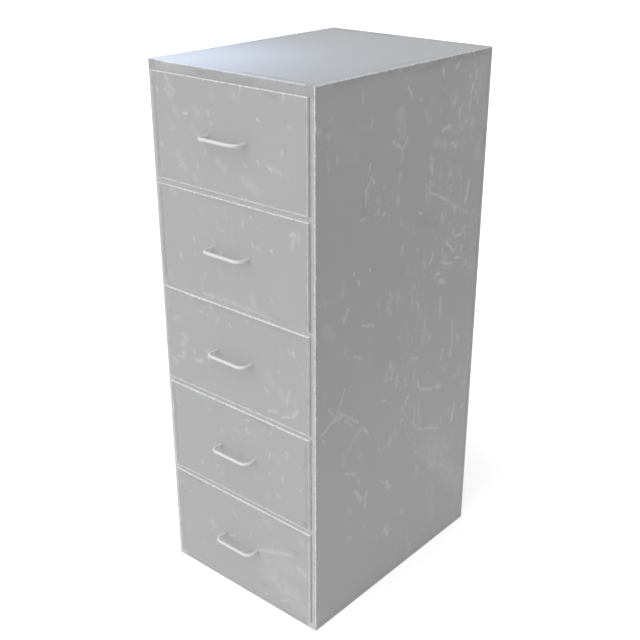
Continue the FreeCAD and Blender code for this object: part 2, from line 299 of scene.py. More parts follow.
def mask_group(name, inputs, draw):
    """A node group that gives one mask, drawn once and then shared"""
    if name not in bpy.data.node_groups:
        tree = bpy.data.node_groups.new(name, "ShaderNodeTree")
        for label, kind in inputs:
            tree.interface.new_socket(label, in_out="INPUT", socket_type="NodeSocket" + kind)
        tree.interface.new_socket("Mask", in_out="OUTPUT", socket_type="NodeSocketFloat")
        graph = Graph(tree)
        given = tree.nodes.new("NodeGroupInput").outputs
        graph.set(tree.nodes.new("NodeGroupOutput").inputs[0], draw(graph, given))
    return bpy.data.node_groups[name]


def distance_in_reaches(graph, given):
    """Distance from a place to the straight run between two points, over the mark's reach"""
    away = graph.vector("SUBTRACT", given["Place"], given["Start"])
    run = graph.vector("SUBTRACT", given["End"], given["Start"])
    along = graph.vector("DOT_PRODUCT", away, run)
    share = graph.math("DIVIDE", along, graph.vector("DOT_PRODUCT", run, run))
    share = graph.add("Clamp", share).outputs[0]
    distance = graph.vector("DISTANCE", away, graph.scaled(run, share))
    return graph.math("DIVIDE", distance, given["Reach"])


def draw_stroke(graph, given):
    return graph.step(graph.total(distance_in_reaches(graph, given), given["Ragged"]), 1.35, 0.25)


def draw_cloud(graph, given):
    return graph.step(distance_in_reaches(graph, given), 1.0, 0.0)


def draw_flecks(graph, given):
    place = graph.scaled(given["Place"], given["Cells"])
    cell = graph.add("TexVoronoi", vector=place, scale=1.0, voronoi_dimensions="2D")
    chance = graph.add("SeparateColor", cell.outputs["Color"]).outputs
    away = graph.vector("SUBTRACT", place, cell.outputs["Position"])
    turn = graph.total(graph.times(graph.minus(chance[0], 0.5), given["Spread"]), given["Lean"])
    turned = graph.add("VectorRotate", vector=away, angle=turn, rotation_type="Z_AXIS").outputs[0]
    across, along, _ = graph.split(turned)
    size = graph.total(graph.times(chance[1], 0.8), 0.4)
    length = graph.times(given["Length"], given["Cells"], size)
    breadth = graph.times(given["Breadth"], given["Cells"], size)
    far = graph.math("POWER", graph.math("DIVIDE", along, length), 2.0)
    wide = graph.math("POWER", graph.math("DIVIDE", across, breadth), 2.0)
    inside = graph.step(graph.total(far, wide), 1.0, 0.3)
    kept = graph.math("LESS_THAN", chance[2], given["Share"])
    return graph.times(inside, kept, graph.total(graph.times(chance[1], 0.5), 0.5))


RUN_INPUTS = [("Place", "Vector"), ("Start", "Vector"), ("End", "Vector"), ("Reach", "Float")]


def stroke_group():
    """A worn stroke from one point to another, ragged at its rim."""
    return mask_group("worn_stroke", RUN_INPUTS + [("Ragged", "Float")], draw_stroke)


def cloud_group():
    """A soft patch around the run from one point to another, fading out all the way."""
    return mask_group("soft_cloud", RUN_INPUTS, draw_cloud)


def flecks_group():
    """Short marks strewn over a sheet: each cell holds one, of its own length, lean and strength."""
    numbers = ("Cells", "Length", "Breadth", "Lean", "Spread", "Share")
    return mask_group("flecks", [("Place", "Vector")] + [(label, "Float") for label in numbers], draw_flecks)


class Sheet:
    """Coordinates on one enamelled sheet, and the noises that its marks share."""

    def __init__(self, graph, level, offset):
        self.across, self.depth, self.height = graph.split(graph.place())
        if level:
            flat = (self.across, graph.total(self.depth, self.height))
        else:
            flat = (graph.total(self.across, self.depth), self.height)
        self.up = flat[1]
        # Metres along the sheet: across and up on an upright one, across and back on a level one
        self.flat = graph.add("CombineXYZ", *flat, 0.0).outputs[0]
        self.place = graph.vector("ADD", self.flat, (offset, offset * 1.7, 0.0))
        swing = graph.add("TexNoise", vector=self.place, scale=60.0, detail=4.0, roughness=0.6)
        swing = graph.vector("SUBTRACT", swing.outputs["Color"], (0.5, 0.5, 0.5))
        swing = graph.stretch(swing, (MARK_WAVER, MARK_WAVER, 0.0))
        self.bent = graph.vector("ADD", self.place, swing)
        self.drawn = graph.vector("ADD", self.flat, swing)
        self.ragged = graph.minus(graph.noise(self.place, 190.0, 4.0, 0.65), 0.5)
        self.chipped = graph.noise(self.place, 120.0, 5.0, 0.65)
        self.tone = graph.noise(self.place, 2.2, 4.0, 0.55)


def enamel_shade(graph, sheet, finish, level, dust_and_painted_floor_light):
    """Whole enamel, uneven and faintly streaked, with painted light: darker high up and paler low down on a
    side, and on the top cooler, paler to the back and darker on its front fold
    """
    streaks = graph.noise(graph.stretch(sheet.place, (1.0, 0.06, 1.0)), 60.0, 4.0)
    shade = graph.total(1.0 - dust_and_painted_floor_light, graph.times(graph.minus(sheet.tone, 0.5), TONE_SWING),
                        graph.times(graph.minus(streaks, 0.5), STREAK_SWING))
    # Painted light on the sides: the enamel is darker high up and paler towards the foot
    if dust_and_painted_floor_light:
        painted_floor_light_mask = graph.step(sheet.up, CARCASS_HIGH.z * 0.8, CARCASS_LOW.z)
        shade = graph.total(shade, graph.times(painted_floor_light_mask, PAINTED_FLOOR_LIGHT_LOW_DOWN * dust_and_painted_floor_light))
    enamel = finish.enamel_color
    # Painted light on the top: cooler and paler as a painted sky reflection and paler towards the back; the
    # folded front edge keeps the plain enamel, painted a little darker
    if level:
        folded = graph.step(sheet.height, CARCASS_HIGH.z - TOP_FOLD[0], CARCASS_HIGH.z - TOP_FOLD[1])
        painted_light_farther = graph.step(sheet.depth, CARCASS_LOW.y * 0.4, CARCASS_HIGH.y)
        shade = graph.total(shade, graph.times(painted_light_farther, TOP_PAINTED_LIGHT_FARTHER), graph.times(folded, TOP_FOLD_SHADE))
        enamel = graph.mix(folded, finish.top_color, enamel)
    return graph.scaled(enamel, shade)


def scattered_marks(graph, place, patches, wear):
    """Upright scratches, dabs, smears and curls, crowded where the patches are"""
    crowd = graph.step(patches, 0.44, 0.62)
    grain = graph.step(graph.noise(place, 150.0, 4.0, 0.6), 0.30, 0.55)
    upright = graph.add("Group", node_tree=flecks_group(), place=place, cells=19.0, length=0.016,
                        breadth=0.0034, lean=0.0, spread=0.7, share=graph.times(crowd, 0.85 * wear))
    dabs = graph.add("Group", node_tree=flecks_group(), place=place, cells=27.0, length=0.008,
                     breadth=0.0046, lean=0.0, spread=6.3, share=graph.times(crowd, 0.55 * wear))
    smears = graph.noise(graph.stretch(place, (1.0, 0.45, 1.0)), 36.0, 4.0, 0.6)
    smears = graph.times(graph.step(smears, 0.54, 0.70), crowd, 0.36 * wear)
    curls = graph.math("ABSOLUTE", graph.minus(graph.noise(place, 17.0, 2.0, 0.5), 0.5))
    curls = graph.times(graph.step(curls, 0.016, 0.004), crowd, 0.16 * wear)
    return graph.largest([graph.times(upright.outputs[0], grain, 0.40),
                          graph.times(dabs.outputs[0], grain, 0.42), smears, graph.times(curls, grain)])


def placed_marks(graph, group, place, marks, by, before=0.0, **settings):
    """The strongest of the mask before and the marks that have a place of their own on the sheet"""
    strongest = before
    for start, end, reach, strength in marks:
        mark = graph.add("Group", node_tree=group, place=place, start=(*start, 0.0), end=(*end, 0.0),
                         reach=reach, **settings)
        strongest = graph.math("MAXIMUM", strongest, graph.times(mark.outputs[0], by, strength))
    return strongest


def edge_distance(graph, sheet, planes):
    """Distance to a straight edge, given by the two planes that meet there"""
    axes = {"x": sheet.across, "y": sheet.depth, "z": sheet.height}
    squares = []
    for axis, value in planes.items():
        squares.append(graph.math("POWER", graph.math("ABSOLUTE", graph.minus(axes[axis], value)), 2.0))
    return graph.math("SQRT", graph.total(*squares))


def rubbed_edges(graph, sheet, edges, distances, edge_wear):
    """Masks of the pale lines along edges, broken by nicks and chips"""
    nicks = graph.noise(graph.stretch(sheet.place, (1.0, 0.3, 1.0)), 130.0, 2.0)
    nicks = graph.step(nicks, 0.58, 0.68)
    worn = graph.total(0.3, graph.times(sheet.chipped, 1.4))
    whole = graph.step(sheet.chipped, 0.30, 0.60)
    rubs = []
    for (_, strength, breadth), distance in zip(edges, distances):
        reach = graph.times(graph.total(graph.times(worn, breadth), nicks), edge_wear)
        rubbed = graph.step(graph.math("DIVIDE", distance, reach), 1.3, 0.6)
        rubs.append(graph.times(rubbed, graph.total(0.45 * strength, graph.times(whole, 0.55 * strength))))
    return rubs


def fold_rubs_and_painted_light(graph, sheet, front, rims):
    """Masks of the rubs on a drawer front's narrow folds, which turn back at its top and at its flanks, and
    painted light: a painted highlight on the top ledge and painted light that lifts the shade on the flanks
    """
    behind = graph.step(sheet.depth, front + FOLD_BEHIND[0], front + FOLD_BEHIND[1])
    outward = {"top": sheet.up, "flank": graph.math("ABSOLUTE", sheet.across)}
    rubs = []
    for fold, (rim, strength) in rims.items():
        turned = graph.times(behind, graph.step(outward[fold], rim - FOLD_RIM[0], rim - FOLD_RIM[1]))
        chips = graph.times(sheet.chipped, 0.3 * strength)
        rubs.append(graph.times(turned, graph.total(0.85 * strength, chips)))
    return rubs


def stile_rub_and_painted_light(graph, sheet, front):
    """Mask of the rub down the folded front edge of a side, which fades out below the top rail; it is also
    painted light that lifts the shade the drawer fronts cast there
    """
    below_top = graph.step(sheet.up, CARCASS_HIGH.z - STILE_BELOW_TOP[0], CARCASS_HIGH.z - STILE_BELOW_TOP[1])
    near_front = graph.step(sheet.depth, front + STILE_RUB[0], front + STILE_RUB[1])
    return graph.times(near_front, below_top, graph.total(sheet.chipped, 0.2), STILE_RUB_AND_LIGHT_STRENGTH)


def held_dirt_and_shade(graph, sheet, distances, stains_and_shade):
    """Dirt held here and there along the edges, and stains that have a place of their own, some of them
    painted shade lines just inside the drawer fronts' edges
    """
    held = graph.step(graph.noise(sheet.place, 33.0, 4.0, 0.6), 0.50, 0.62)
    dirt = graph.times(held, graph.step(graph.smallest(distances), *DIRT_REACH), EDGE_DIRT_STRENGTH)
    spots = graph.noise(graph.stretch(sheet.place, (0.4, 1.0, 1.0)), 40.0, 4.0, 0.65)
    spots = graph.total(0.35, graph.times(graph.step(spots, 0.30, 0.60), 0.65), sheet.ragged)
    return placed_marks(graph, cloud_group(), sheet.flat, stains_and_shade, spots, dirt)


def worn_enamel(context, name, edges, offset, marks, level=False, wear=1.0, drift=0.0, rub_and_painted_light=0.0, dust_and_painted_floor_light=0.0,
                folds=None, stile=None):
    """Grey enamel with pale knocks, scratches, rubbed edges and dirt, and with painted light and shade

    edges: rows of the planes that meet at an edge, and the strength and breadth of its wear
    offset: how far the noises are shifted, so that no two sheets are alike
    marks: strokes, clouds, stains and washes that have a place of their own; the top's corner cloud is a
    painted highlight and some stains on the fronts are painted shade
    level: the sheet lies flat, as the top does
    wear, rub, dust: how much of the scattered marks there is, how much even rub, which on the rails is
    painted light, and how much painted light makes the enamel darker high up and paler low down
    drift: how much the scattered marks grow more crowded from front to back
    folds: the front plane of a drawer front, and the rim and strength of each of its folds, whose rub is also
    painted light
    stile: the plane of a side's folded front edge
    """
    finish = context.scene.cabinet_finish
    material, graph, shader = material_graph(name)
    sheet = Sheet(graph, level, offset)
    color = enamel_shade(graph, sheet, finish, level, dust_and_painted_floor_light)

    patches = graph.noise(sheet.place, 5.5, 4.0, 0.55)
    if drift:
        patches = graph.total(patches, graph.times(sheet.depth, drift))
    scuffs = scattered_marks(graph, sheet.bent, patches, wear)
    worked = graph.step(graph.noise(sheet.place, 170.0, 3.0, 0.6), 0.32, 0.56)
    worked = graph.total(0.55, graph.times(worked, 0.6))
    pale = placed_marks(graph, stroke_group(), sheet.drawn, marks["strokes"], worked, scuffs,
                        ragged=graph.times(sheet.ragged, 3.6))
    patchy = graph.step(graph.noise(sheet.place, 46.0, 5.0, 0.7), 0.40, 0.66)
    patchy = graph.total(0.35, graph.times(patchy, 0.65))
    pale = placed_marks(graph, cloud_group(), sheet.drawn, marks["clouds"], patchy, pale)
    # Pale marks, and a painted highlight over the top's front left corner
    color = graph.mix(pale, color, finish.scuff_color)
    washes = placed_marks(graph, cloud_group(), sheet.drawn, marks["washes"], patchy)
    color = graph.mix(washes, color, finish.wash_color)

    distances = [edge_distance(graph, sheet, planes) for planes, _, _ in edges]
    # An even pale rub; on the rails it is painted light that lifts the shade under the fronts
    rubs = [graph.times(sheet.chipped, rub_and_painted_light)]
    rubs += rubbed_edges(graph, sheet, edges, distances, finish.edge_wear)
    if folds:
        rubs += fold_rubs_and_painted_light(graph, sheet, *folds)
    if stile is not None:
        # Rub and painted light on the side's folded front edge
        rubs.append(stile_rub_and_painted_light(graph, sheet, stile))
    # Pale where edges are worn bare and where light is painted on the fronts' folds, the rails and the stiles
    bare = graph.largest(rubs)
    # Dirt and stains, and painted shade lines just inside the drawer fronts' edges
    color = graph.mix(held_dirt_and_shade(graph, sheet, distances, marks["stains_and_shade"]), color, finish.grime_color)
    color = graph.mix(bare, color, finish.edge_color)

    pale = graph.largest([pale, bare])
    rough = graph.total(finish.enamel_roughness, graph.times(pale, 0.2), graph.times(sheet.tone, 0.08))
    cut = graph.largest([scuffs, bare])
    grain = graph.total(graph.times(graph.noise(sheet.place, 260.0, 2.0), 0.35), graph.times(cut, -0.5))
    graph.coat(shader, color, rough, grain, 0.12, 0.0004)
    shader.inputs["Specular IOR Level"].default_value = 0.3
    return material


def inner_enamel(finish, graph, shader, place):
    """Thin matt enamel with the dust and rubs of drawers in use."""
    tone = graph.noise(place, 4.0, 5.0, 0.6)
    dust_and_painted_floor_light = graph.step(graph.noise(place, 24.0, 6.0, 0.65), 0.48, 0.7)
    color = graph.mix(graph.times(tone, 0.35), finish.inner_color, finish.enamel_color)
    color = graph.mix(graph.times(dust_and_painted_floor_light, 0.25), color, finish.scuff_color)
    rough = graph.total(0.5, graph.times(dust_and_painted_floor_light, 0.2))
    graph.coat(shader, color, rough, graph.noise(place, 300.0, 2.0), 0.1, 0.0004)


def satin_pull(finish, graph, shader, place):
    """Light satin metal, drawn along the rod, a little rubbed where hands take it."""
    drawn = graph.noise(graph.stretch(place, (0.06, 1.0, 1.0)), 900.0, 2.0)
    rubs = graph.step(graph.noise(place, 110.0, 4.0, 0.6), 0.5, 0.7)
    color = graph.mix(graph.times(rubs, 0.3), finish.pull_color, finish.scuff_color)
    graph.coat(shader, color, graph.total(0.45, graph.times(drawn, 0.18)), drawn, 0.08, 0.0002)
    shader.inputs["Metallic"].default_value = 0.1


def zinc_plate(finish, graph, shader, place):
    """Dull zinc with its faint spangle and darker rolled lines."""
    spangle = graph.add("TexVoronoi", vector=place, scale=180.0).outputs["Color"]
    spangle = graph.split(spangle)[0]
    rolled = graph.noise(graph.stretch(place, (1.0, 0.03, 1.0)), 400.0, 3.0)
    color = graph.mix(graph.times(rolled, 0.45), finish.zinc_color, finish.grime_color)
    color = graph.mix(graph.times(spangle, 0.18), color, finish.scuff_color)
    graph.coat(shader, color, graph.total(0.32, graph.times(spangle, 0.16)), rolled, 0.06, 0.0002)
    shader.inputs["Metallic"].default_value = 1.0


def wheel_nylon(finish, graph, shader, place):
    """Natural nylon, greyed by grease."""
    grease = graph.step(graph.noise(place, 210.0, 4.0, 0.6), 0.5, 0.72)
    color = graph.mix(graph.times(grease, 0.4), finish.nylon_color, finish.grime_color)
    rough = graph.total(0.38, graph.times(grease, 0.2))
    graph.coat(shader, color, rough, graph.noise(place, 900.0, 2.0), 0.08, 0.0002)
    shader.inputs["Subsurface Weight"].default_value = 0.1
    shader.inputs["Subsurface Scale"].default_value = 0.002


def buffer_rubber(finish, graph, shader, place):
    """Black rubber with a bloom of dust."""
    dust_and_painted_floor_light = graph.step(graph.noise(place, 140.0, 5.0, 0.65), 0.45, 0.75)
    color = graph.mix(graph.times(dust_and_painted_floor_light, 0.12), finish.rubber_color, finish.scuff_color)
    rough = graph.total(0.7, graph.times(dust_and_painted_floor_light, 0.2))
    graph.coat(shader, color, rough, graph.noise(place, 700.0, 3.0), 0.2, 0.0003)


def dress(node, material):
    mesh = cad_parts[node].data
    mesh.materials.clear()
    mesh.materials.append(material)


def nodes_named(*starts):
    return [node for start in starts for node in sorted(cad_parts) if node.startswith(start)]


def shared(finish, context):
    """The material that a function describes, made once"""
    name = finish.__name__
    if name not in bpy.data.materials:
        _, graph, shader = material_graph(name)
        finish(context.scene.cabinet_finish, graph, shader, graph.place())
    return bpy.data.materials[name]


def placed(marks, across=0.0, up=0.0):
    """Marks in metres of a sheet's flat coordinates, which also count the plane that the sheet lies in

    Each row comes as the start's two coordinates, the end's two and the reach, in millimetres, and the
    strength in percent.
    """
    metres = {"strokes": [], "clouds": [], "stains_and_shade": [], "washes": []}
    for kind, rows in marks.items():
        for from_across, from_up, to_across, to_up, reach, strength in rows:
            start = (from_across / 1000 + across, from_up / 1000 + up)
            end = (to_across / 1000 + across, to_up / 1000 + up)
            metres[kind].append((start, end, reach / 1000, strength / 100))
    return metres


# Marks with a place of their own, as rows of the millimetres and percent that placed() takes. On the
# right side they are measured back from the cabinet's middle and up, on the top across and back from its
# middle, and elsewhere across from the middle and up.
SIDE_MARKS = {
    "strokes": [
        (-240, 560, -216, 615, 3, 42), (-245, 556, -294, 531, 3.6, 45), (-270, 586, -250, 563, 3.4, 30),
        (-228, 560, -166, 512, 3.6, 38), (-214, 536, -186, 512, 3.4, 38), (-248, 553, -228, 551, 8.5, 38),
        (-288, 514, -282, 507, 4, 48), (60, 468, 60, 404, 3.4, 34), (77, 466, 77, 392, 3.4, 36),
        (83, 1092, 83, 1052, 3.2, 34), (90, 1076, 90, 1040, 4, 42), (70, 1022, 72, 986, 3.5, 34),
        (83, 1028, 84, 1002, 3.2, 30), (249, 998, 238, 950, 4.4, 52), (241, 390, 231, 346, 4.4, 52),
        (87, 1001, 164, 964, 4.2, 38), (78, 385, 165, 353, 4.6, 38), (137, 937, 143, 918, 4.5, 36),
        (128, 914, 146, 919, 3.6, 30), (165, 861, 197, 829, 4, 44), (196, 868, 222, 866, 5.5, 40),
        (148, 816, 174, 802, 4.2, 46), (174, 802, 192, 800, 3.2, 36), (204, 812, 222, 806, 5, 42),
        (124, 791, 140, 786, 5, 44), (142, 766, 160, 761, 7, 52), (108, 840, 93, 823, 4.4, 44),
        (252, 788, 256, 780, 5, 34), (-172, 859, -168, 854, 4.2, 42), (-134, 878, -130, 875, 3.6, 40),
        (44, 879, 47, 871, 4, 42), (-12, 897, -17, 881, 4.2, 32), (-206, 806, -220, 783, 5.5, 38),
        (-155, 750, -113, 737, 3.8, 36), (50, 742, 58, 730, 4.2, 38), (150, 722, 152, 668, 5.6, 34),
        (88, 681, 90, 660, 5, 32), (-183, 686, -162, 671, 4.6, 32), (-60, 1146, -27, 1123, 4.8, 34),
        (-10, 1147, -27, 1123, 4.8, 38), (-27, 1118, -28, 1096, 3.6, 34), (-13, 1253, 0, 1236, 4, 46),
        (33, 1224, 39, 1220, 4, 32), (114, 1279, 118, 1266, 4.8, 42), (182, 1286, 167, 1271, 4.6, 36),
        (225, 1248, 233, 1239, 4.2, 44), (241, 1226, 232, 1205, 4.2, 48), (255, 1252, 252, 1236, 4.4, 44),
        (232, 1192, 230, 1165, 3.8, 34), (262, 1192, 265, 1178, 3.6, 44), (191, 1176, 189, 1161, 5.6, 42),
        (126, 1140, 152, 1140, 5.4, 40), (198, 1144, 200, 1126, 4.4, 38), (164, 1101, 182, 1092, 7, 38),
        (-135, 1085, -131, 1081, 4.2, 36), (-150, 1062, -152, 1022, 3.2, 34),
        (-166, 1001, -153, 998, 4.6, 38), (-68, 580, -35, 573, 3.6, 38), (-20, 574, -19, 546, 4.2, 44),
        (-48, 623, -45, 603, 4.4, 34), (-77, 531, -66, 526, 4.6, 44), (28, 500, 20, 480, 4.6, 44),
        (36, 600, 60, 590, 4.6, 34), (70, 524, 72, 504, 4.4, 42), (82, 498, 130, 480, 6, 36),
        (148, 480, 166, 474, 9.5, 36), (171, 576, 168, 548, 4.6, 38), (208, 645, 213, 592, 4.2, 32),
        (213, 592, 207, 541, 4.2, 36), (235, 593, 243, 570, 4.2, 36), (174, 522, 190, 511, 5, 32),
        (-142, 481, -128, 465, 5.2, 42), (-205, 392, -172, 373, 5.6, 36), (-166, 371, -156, 342, 4.4, 30),
        (260, 451, 292, 435, 3.4, 28), (-172, 326, -150, 291, 6.6, 40), (-128, 301, -135, 262, 5.2, 38),
        (-196, 291, -182, 271, 4.6, 28), (-48, 292, -38, 272, 7.8, 50), (-76, 306, -60, 299, 4, 30),
        (-196, 207, -187, 201, 4.8, 46), (-50, 152, -37, 133, 9, 44), (18, 169, 28, 165, 7, 44),
        (60, 50, 60, 20, 4, 30),
    ],
    "clouds": [
        (-36, 1205, -28, 1160, 26, 36), (96, 1116, 142, 1100, 18, 42), (-265, 1240, -200, 1150, 50, 12),
        (270, 1048, 305, 1040, 16, 26), (295, 1170, 308, 1120, 18, 30), (55, 1190, 72, 1166, 14, 24),
        (-280, 782, -262, 765, 20, 26), (-155, 484, -196, 455, 14, 36), (-216, 446, -214, 420, 14, 28),
        (-166, 436, -150, 405, 14, 24), (92, 652, 110, 622, 18, 26), (130, 310, 210, 270, 70, 26),
        (150, 245, 195, 228, 24, 42), (130, 300, 150, 240, 22, 28), (220, 200, 300, 110, 56, 34),
        (300, 160, 310, 110, 20, 34), (150, 135, 165, 80, 20, 24), (200, 1130, 280, 1250, 80, 16),
    ],
    "stains_and_shade": [
        (-250, 1296, 310, 1294, 15, 34), (-70, 1294, -20, 1292, 18, 34), (20, 1290, 110, 1288, 20, 34),
        (150, 1292, 300, 1292, 16, 42), (-160, 1040, -158, 1000, 8, 22), (158, 845, 176, 842, 8, 30),
        (60, 940, 120, 915, 30, 12), (-300, 12, 300, 12, 7, 18), (302, 60, 302, 1270, 7, 24),
    ],
}

TOP_MARKS = {
    "clouds": [
        # A painted highlight: paler enamel over the top's front left corner
        (-240, -315, -175, -308, 95, 38),
    ],
    "stains_and_shade": [
        (-228, -30, -228, 300, 14, 26), (40, -299, 232, -299, 10, 50), (222, -280, 222, 120, 8, 22),
        (-225, 294, -40, 300, 30, 34), (20, 300, 225, 302, 22, 28),
    ],
}

# On the folded front edge of the top
TOP_RAIL_MARKS = {
    "stains_and_shade": [
        (-80, 1290, -30, 1288, 12, 20), (20, 1287, 75, 1286, 12, 20),
    ],
}

BOTTOM_RAIL_MARKS = {
    "stains_and_shade": [
        (-220, 14, 220, 14, 8, 40),
    ],
}

TOP_FRONT_MARKS = {
    "strokes": [
        (-170, 1258, -149, 1243, 3.2, 28), (-149, 1243, -162, 1225, 3.2, 28),
        (-162, 1225, -182, 1243, 3.2, 28), (-182, 1243, -170, 1258, 3.2, 28),
        (-212, 1243, -206, 1236, 4.8, 32), (-180, 1272, -171, 1263, 4.2, 30),
        (-129, 1199, -115, 1200, 4.2, 44), (-50, 1212, -48, 1203, 3.2, 42), (-42, 1192, -41, 1187, 4, 28),
        (92, 1219, 98, 1216, 3.4, 46), (28, 1262, 27, 1250, 3.4, 26), (46, 1276, 47, 1266, 3, 42),
        (165, 1274, 166, 1262, 3, 34), (176, 1216, 186, 1215, 4, 26), (160, 1164, 158, 1158, 4, 30),
        (121, 1126, 128, 1119, 3.6, 48), (90, 1130, 94, 1124, 4.4, 30), (54, 1117, 58, 1113, 4, 34),
        (-89, 1098, -89, 1084, 3, 32), (-206, 1120, -200, 1121, 3.4, 30), (-148, 1078, -140, 1080, 4.2, 32),
        (-64, 1130, -65, 1114, 3.6, 24),
    ],
    "clouds": [
        (-165, 1250, -165, 1234, 18, 20), (-155, 1204, -145, 1192, 14, 26), (-92, 1216, -84, 1204, 12, 24),
        (-170, 1172, -165, 1160, 14, 22), (-26, 1112, -8, 1094, 18, 28), (52, 1084, 88, 1066, 24, 26),
        (134, 1122, 150, 1118, 12, 32), (-152, 1102, -128, 1078, 18, 26), (-105, 1070, -98, 1055, 14, 22),
        (-100, 1172, -88, 1160, 14, 20),
    ],
    "stains_and_shade": [
        # The line at -215.5 is painted shade just inside the front's left edge
        (110, 1270, 146, 1269, 6, 30), (-215.5, 1262, -215.5, 1060, 5.5, 34),
    ],
}

SECOND_FRONT_MARKS = {
    "strokes": [
        (64, 1004, 70, 1007, 3, 50), (45, 994, 43, 986, 4.6, 32), (181, 991, 190, 996, 4.6, 42),
        (187, 984, 184, 962, 5.6, 26), (124, 944, 126, 944, 3, 62), (82, 941, 92, 937, 3.4, 28),
        (-160, 874, -161, 866, 4, 32), (-34, 962, -20, 955, 3.4, 22), (-82, 844, -83, 830, 3.6, 22),
        (120, 834, 126, 828, 3.6, 22),
    ],
    "clouds": [
        (-182, 1019, -168, 1012, 14, 36), (-35, 873, -31, 845, 14, 30), (62, 822, 72, 805, 16, 30),
        (196, 998, 200, 990, 14, 30), (-205, 812, -200, 795, 12, 26), (206, 806, 210, 796, 12, 24),
        (-85, 791, 100, 790, 13, 42), (-85, 992, -80, 984, 12, 20), (-95, 826, -94, 806, 10, 22),
    ],
    "stains_and_shade": [
        # The line at -215.5 is painted shade just inside the front's left edge
        (-80, 1024, 90, 1022, 7, 16), (-215.5, 1016, -215.5, 806, 5.5, 36),
    ],
}

THIRD_FRONT_MARKS = {
    "strokes": [
        (182, 727, 186, 720, 4.6, 40), (-128, 609, -107, 616, 4.6, 40), (-190, 603, -171, 602, 4, 38),
        (-172, 602, -170, 616, 3.4, 32), (-72, 766, -66, 758, 4.2, 32), (45, 762, 47, 756, 4.2, 32),
        (-52, 737, -51, 731, 4.2, 34), (-10, 738, -10, 731, 3.6, 28), (137, 668, 141, 665, 3.6, 36),
        (96, 612, 102, 606, 4.6, 32), (195, 591, 182, 569, 5, 38), (180, 568, 150, 559, 4.6, 32),
        (130, 565, 108, 558, 4.6, 32), (170, 626, 161, 591, 4.6, 26), (-216, 731, -220, 722, 4, 32),
    ],
    "clouds": [
        (-200, 696, -182, 705, 14, 26), (-160, 660, -174, 636, 14, 34), (-178, 632, -168, 612, 12, 30),
        (-206, 592, -198, 580, 16, 28), (106, 652, 122, 630, 16, 26), (140, 620, 150, 606, 16, 22),
        (-150, 742, -145, 730, 14, 18),
    ],
    "stains_and_shade": [
        (-130, 768, 200, 768, 5, 22),
    ],
    "washes": [
        (-130, 546, -75, 560, 20, 22),
    ],
}

FOURTH_FRONT_MARKS = {
    "strokes": [
        (32, 484, 36, 477, 4.2, 40), (-52, 451, -48, 448, 3, 34), (107, 448, 106, 434, 3, 38),
        (157, 468, 164, 466, 4, 32), (-72, 344, -67, 340, 4.2, 32), (-126, 334, -124, 326, 4, 28),
        (128, 340, 137, 338, 5.6, 34), (-10, 470, -2, 462, 3.6, 22),
    ],
    "clouds": [
        (-50, 342, -54, 322, 12, 24), (60, 370, 66, 360, 16, 16), (-205, 500, -202, 480, 14, 18),
        (-104, 500, -92, 494, 14, 22),
    ],
    "stains_and_shade": [
        (58, 520, 106, 516, 10, 26), (216, 500, 217, 440, 7, 30), (212, 300, 220, 298, 10, 34),
        # The lines at -215.5 and 219 are painted shade just inside the front's left and right edges
        (-215.5, 510, -215.5, 305, 5.5, 26), (219, 505, 219, 310, 5.5, 20),
    ],
    "washes": [
        (-125, 520, -85, 524, 18, 50),
    ],
}

BOTTOM_FRONT_MARKS = {
    "strokes": [
        (64, 156, 112, 172, 6, 36), (112, 172, 168, 192, 6.4, 34), (190, 164, 212, 156, 6.4, 38),
        (122, 77, 190, 74, 4.4, 30), (134, 38, 158, 58, 3.6, 30), (-33, 154, -18, 159, 4.2, 34),
        (62, 104, 64, 100, 4.4, 34), (36, 189, 32, 178, 3.2, 22),
    ],
    "clouds": [
        (-100, 163, -86, 155, 14, 30), (90, 150, 200, 150, 50, 22), (100, 110, 200, 60, 60, 28),
        (85, 255, 100, 240, 14, 26), (200, 250, 206, 235, 16, 26), (-212, 240, -200, 224, 12, 36),
    ],
    "stains_and_shade": [
        # The line at -213 is painted shade just inside the front's left edge
        (-206, 226, -198, 214, 10, 30), (-213, 190, -213, 40, 5.5, 14), (-180, 267, -130, 267, 5, 36),
        (140, 267, 190, 267, 5, 26), (75, 60, 88, 57, 10, 22), (170, 208, 196, 204, 8, 26),
    ],
}

FRONT_MARKS = (TOP_FRONT_MARKS, SECOND_FRONT_MARKS, THIRD_FRONT_MARKS, FOURTH_FRONT_MARKS, BOTTOM_FRONT_MARKS)

# How far the edges of each drawer front are rubbed, from the top drawer down: strength and breadth. The top
# strength also sets the painted highlight on each front's top ledge; the flank strengths are painted light on
# its flanks
TOP_EDGE_WEAR_AND_LEDGE_HIGHLIGHT = ((0.80, 0.6), (1.0, 0.5), (1.0, 0.8), (0.95, 0.8), (0.95, 0.7))
FOOT_EDGE_WEAR = ((0.55, 1.7), (0.20, 1.4), (0.60, 1.7), (0.58, 1.7), (0.40, 1.2))
LEFT_EDGE_WEAR = ((0.34, 1.6), (0.36, 1.6), (0.24, 1.8), (0.62, 1.7), (0.55, 1.9))
RIGHT_EDGE_WEAR = ((0.28, 1.3), (0.32, 1.4), (0.30, 1.0), (0.34, 1.2), (0.40, 1.5))
FLANK_PAINTED_LIGHT = (0.34, 0.30, 0.50, 0.52, 0.52)

# How far each sheet's noises are shifted, in metres
OFFSETS = {"left_side_panel": 3.1, "right_side_panel": 0.0, "top_panel": 5.3, "back_panel": 13.9}
RAIL_OFFSET = 7.7
FRONT_OFFSET = 20.0
FRONT_OFFSET_STEP = 2.3

# How far strewn marks stay from a sheet's sides and foot, in millimetres
SIDE_MARGIN = 20.0
FOOT_MARGIN = 30.0


